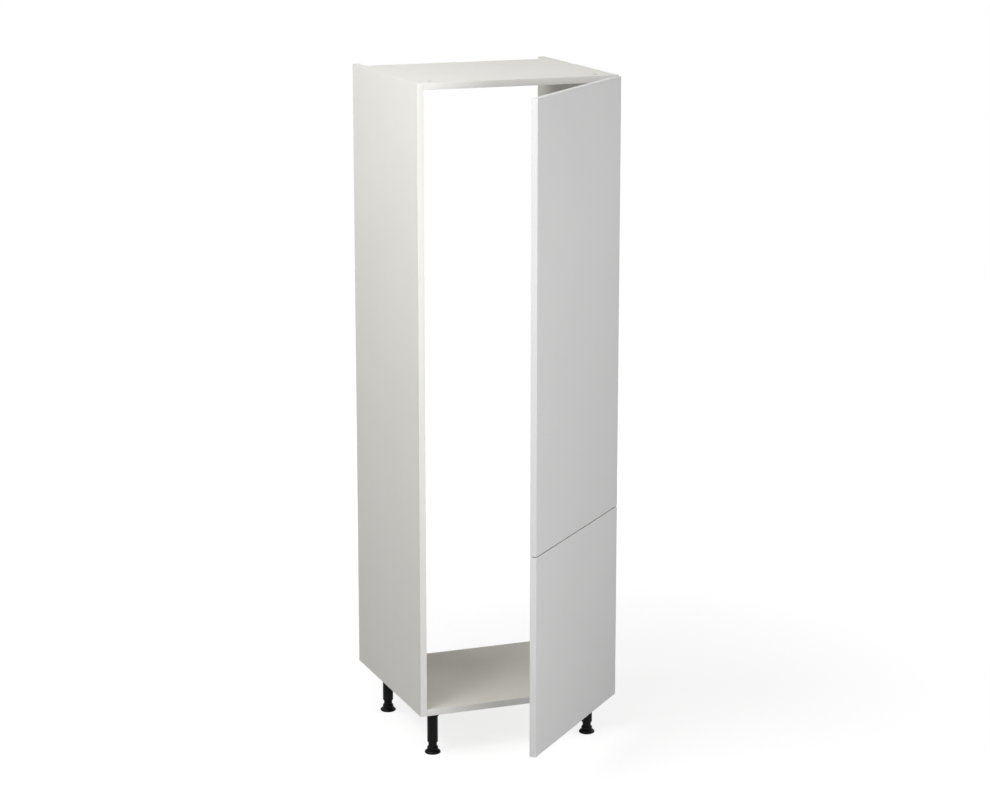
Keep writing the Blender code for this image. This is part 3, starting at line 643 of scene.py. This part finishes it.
def add_link(door, number, z):
    """One bowed link, bored at both pins."""
    links, tag = f"{door}_links", f"{door}_hinge_{number}"
    eyes = [ring_mesh("eye", turned(eye_line, (*pin, z), links, around=coarse)) for pin in (arm_pin, cup_pin)]
    link = cut(ring_mesh(tag, link_rings(z, links)), eyes)
    add_piece(f"{tag}_bowed_link", link, links, nickel, [f"{door}_hinge_link_{number}"])


print("link from pin to pin", np.linalg.norm(cup_pin - arm_pin).round(4), "m")

# %% [markdown]
# ## Cups
# The cup is a flange with two screw ears, a drum in the door and a pocket that the arm's nose dips into
# when the door shuts. The pocket is almost as wide as the drum across the door, flat above and below,
# with true arcs at its two ends, so the link's eye has room to swing.

# %% Cups
flange_radius, flange_top, cup_pin_half = 0.0187, 0.0015, 0.011
ear_out, ear_back, ear_radius = 0.0225, 0.0095, 0.0055
pocket_wide, pocket_flat, pocket_corner = 0.0159, 0.0076, 0.0025
pocket_floor, pocket_mouth = door_back - cup_depth + 0.0012, door_back + 0.004
drum_chamfer, drum_top = 0.001, 0.0005
drum_line = [(0, -cup_depth), (cup_radius - drum_chamfer, -cup_depth),
             (cup_radius, -cup_depth + drum_chamfer), (cup_radius, drum_top), (0, drum_top)]


def pocket_discs(z):
    """A wide disc's outline held between two flats: small discs that touch the wide one from inside."""
    out = pocket_wide - pocket_corner
    swing = np.arcsin((pocket_flat - pocket_corner) / out)
    lean = np.linspace(-swing, swing, 13)
    return [(z + out * np.sin(a), cup_x + end * out * np.cos(a), pocket_corner)
            for end in (-1, 1) for a in lean]


def add_cup(door, number, z):
    """One cup: flange, drum, pin and two screws."""
    leaf, tag = f"{door}_door", f"{door}_hinge_{number}"
    ears = [(z, cup_x, flange_radius), (z - ear_out, cup_x - ear_back, ear_radius),
            (z + ear_out, cup_x - ear_back, ear_radius)]
    flange = pressed(ears, door_back + seat_gap, door_back + flange_top, metal_ease, leaf, "y", fine)
    pocket = pressed(pocket_discs(z), pocket_floor, pocket_mouth, hollow_ease, leaf, "y", fine)
    flange = cut(ring_mesh(tag, flange), [ring_mesh("pocket", pocket)])
    add_piece(f"{tag}_cup_flange", flange, leaf, nickel, [f"{door}_hinge_cup_{number}"])
    drum = ring_mesh(tag, turned(drum_line, (cup_x, door_back, z), leaf, "y", fine))
    add_piece(f"{tag}_cup_drum", cut(drum, [ring_mesh("pocket", pocket)]), leaf, nickel)
    pin = turned(pin_line(cup_pin_half), (*cup_pin, z), leaf, around=coarse)
    add_piece(f"{tag}_cup_pin", ring_mesh(tag, pin), leaf, bright_zinc)
    for side, offset in (("low", -ear_out), ("high", ear_out)):
        place = (cup_x - ear_back, door_back + flange_top - seat_gap, z + offset)
        add_screw(f"{tag}_cup_screw_{side}", place, "y", 1, leaf)


for door, heights in hinge_heights.items():
    for number, z in enumerate(heights, 1):
        add_link(door, number, z)
        add_cup(door, number, z)
print("links and cups", sum(len(h) for h in hinge_heights.values()))

# %% [markdown]
# ## Bumpers
# Two drops of clear rubber on each door's free side soften its closing. A drop is a low dome turned from
# a quarter of an ellipse.

# %% Bumpers
bumper_x, bumper_inset, bumper_radius, bumper_height, bumper_base = -0.2885, 0.040, 0.004, 0.0014, 0.0036
dome = [(bumper_radius * np.sin(a), seat_gap + bumper_height * np.cos(a))
        for a in np.linspace(0.02, np.pi / 2, 10)[::-1]]
for door, (bottom, top) in door_spans.items():
    for end, z in (("top", top - bumper_inset), ("bottom", bottom + bumper_inset)):
        place = (bumper_x, door_back, z)
        rings = turned([(bumper_base, seat_gap)] + dome, place, f"{door}_door", "y", medium)
        add_piece(f"{door}_{end}_bumper_drop", ring_mesh(end, rings), f"{door}_door", rubber,
                  [f"{door}_door_{end}_bumper"])
print("bumpers", 2 * len(door_spans))

# %% [markdown]
# ## Floor and background
# The photograph's background is plain white. The floor is a pale sheet that reflects the lamps as any
# floor would and keeps the cabinet's soft shadow. For the camera, for gloss and through clear pieces it
# also glows, a little less near the cabinet, so that it meets the white of the surroundings without a seam.

# %% The floor
def is_seen(tree):
    """One for rays from the camera, from gloss and through glass, zero for light on matt surfaces."""
    path = tree.nodes.new("ShaderNodeLightPath")
    first, second = tree.nodes.new("ShaderNodeMath"), tree.nodes.new("ShaderNodeMath")
    for node in (first, second):
        node.operation = "MAXIMUM"
    tree.links.new(path.outputs["Is Camera Ray"], first.inputs[0])
    tree.links.new(path.outputs["Is Glossy Ray"], first.inputs[1])
    tree.links.new(first.outputs[0], second.inputs[0])
    tree.links.new(path.outputs["Is Transmission Ray"], second.inputs[1])
    return second.outputs[0]


floor_reach, floor_grey = 30, 0.35
glow_near, glow_far, near_glow = 0.8, 3.0, 0.80
floor_mesh = bpy.data.meshes.new("floor")
floor_corners = [(floor_reach * x, floor_reach * y, 0) for x, y in ((-1, -1), (1, -1), (1, 1), (-1, 1))]
floor_mesh.from_pydata(floor_corners, [], [(0, 1, 2, 3)])
floor = bpy.data.objects.new("floor", floor_mesh)
bpy.context.scene.collection.objects.link(floor)
floor_paint = bpy.data.materials.new("pale_floor")
floor_paint.use_nodes = True
tree = floor_paint.node_tree
shader = tree.nodes["Principled BSDF"]
shader.inputs["Base Color"].default_value = (floor_grey, floor_grey, floor_grey, 1)
shader.inputs["Roughness"].default_value = 0.9
shader.inputs["Specular IOR Level"].default_value = 0.0
shader.inputs["Emission Color"].default_value = (1, 1, 1, 1)
place = tree.nodes.new("ShaderNodeTexCoord")
away = tree.nodes.new("ShaderNodeVectorMath")
away.operation = "LENGTH"
tree.links.new(place.outputs["Object"], away.inputs[0])
glow = tree.nodes.new("ShaderNodeMath")
glow.operation = "MULTIPLY"
tree.links.new(is_seen(tree), glow.inputs[0])
rise = map_range(tree, away.outputs["Value"], (glow_near, glow_far), (near_glow, 1.0), "SMOOTHSTEP")
tree.links.new(rise, glow.inputs[1])
tree.links.new(glow.outputs[0], shader.inputs["Emission Strength"])
floor_mesh.materials.append(floor_paint)
print("floor", 2 * floor_reach, "m wide")

# %% The surroundings
ambient = 0.01
world = bpy.data.worlds.new("studio")
bpy.context.scene.world = world
world.use_nodes = True
tree = world.node_tree
background = tree.nodes["Background"]
background.inputs["Color"].default_value = (1, 1, 1, 1)
strength = map_range(tree, is_seen(tree), (0.0, 1.0), (ambient, 1.0))
tree.links.new(strength, background.inputs["Strength"])
print("surroundings white where seen, and", ambient, "as light on matt surfaces")

# %% [markdown]
# ## Light
# The left side is brightest at the top and falls off towards the floor, and the top is as bright as the
# side's upper end. So the main lamp is a long soft box, high on the left and parallel to that side. Two
# smaller ones beside it light the front edges. A tall box in front lights the doors and the base evenly,
# two weak ones on the right reach the doors' hinge side, one skims the top and one keeps the back
# readable. Their powers come from a sum of views with one lamp each, fitted to greys of the photograph.

# %% Lamps
def soft_box(name, place, aim, size, power):
    """A rectangular lamp (width, height) at a place, turned to face an aim."""
    lamp = bpy.data.lights.new(name, "AREA")
    lamp.shape, lamp.energy = "RECTANGLE", power
    lamp.size, lamp.size_y = size
    item = bpy.data.objects.new(name, lamp)
    bpy.context.scene.collection.objects.link(item)
    item.location = place
    item.rotation_mode = "QUATERNION"
    item.rotation_quaternion = (Vector(aim) - Vector(place)).to_track_quat("-Z", "Y")


soft_box("left_strip", (-2.6, 0.0, 3.2), (-0.3, 0.1, 1.2), (4.0, 1.2), 65)
soft_box("left_front", (-2.6, -1.5, 2.6), (-0.2, 0.0, 1.0), (1.4, 1.4), 18)
soft_box("key", (-1.8, -1.8, 3.4), (0.0, 0.0, 1.0), (1.6, 1.6), 22)
soft_box("front", (0.2, -3.4, 1.1), (0.0, 0.0, 1.05), (1.5, 2.1), 51)
soft_box("right", (2.8, -1.8, 2.3), (0.2, 0.0, 1.4), (1.8, 1.8), 16)
soft_box("far_right", (3.4, 0.6, 1.6), (0.3, 0.2, 1.0), (2.0, 2.0), 12)
soft_box("top", (-0.2, 0.3, 3.6), (0.0, 0.1, 1.9), (2.0, 2.0), 13)
soft_box("behind", (1.4, 3.6, 1.9), (0.3, 0.3, 1.0), (2.0, 2.0), 5)

# %% [markdown]
# ## Camera
# The view is from the front left and a little above, from almost eight metres, so the verticals hardly
# converge. Place, direction and lens come from fitting measured corners of the cabinet to the photograph.

# %% Camera
camera = bpy.data.objects.new("camera", bpy.data.cameras.new("camera"))
bpy.context.scene.collection.objects.link(camera)
camera.location = (-2.816, -7.180, 2.784)
camera.rotation_euler = np.radians((90 - 12.91, 0, -21.08))
camera.data.sensor_width, camera.data.lens = 36.0, 100.65
camera.data.clip_end = 200
bpy.context.scene.camera = camera
bpy.context.scene.view_settings.view_transform = "Standard"
print("camera", [round(v, 3) for v in camera.location])
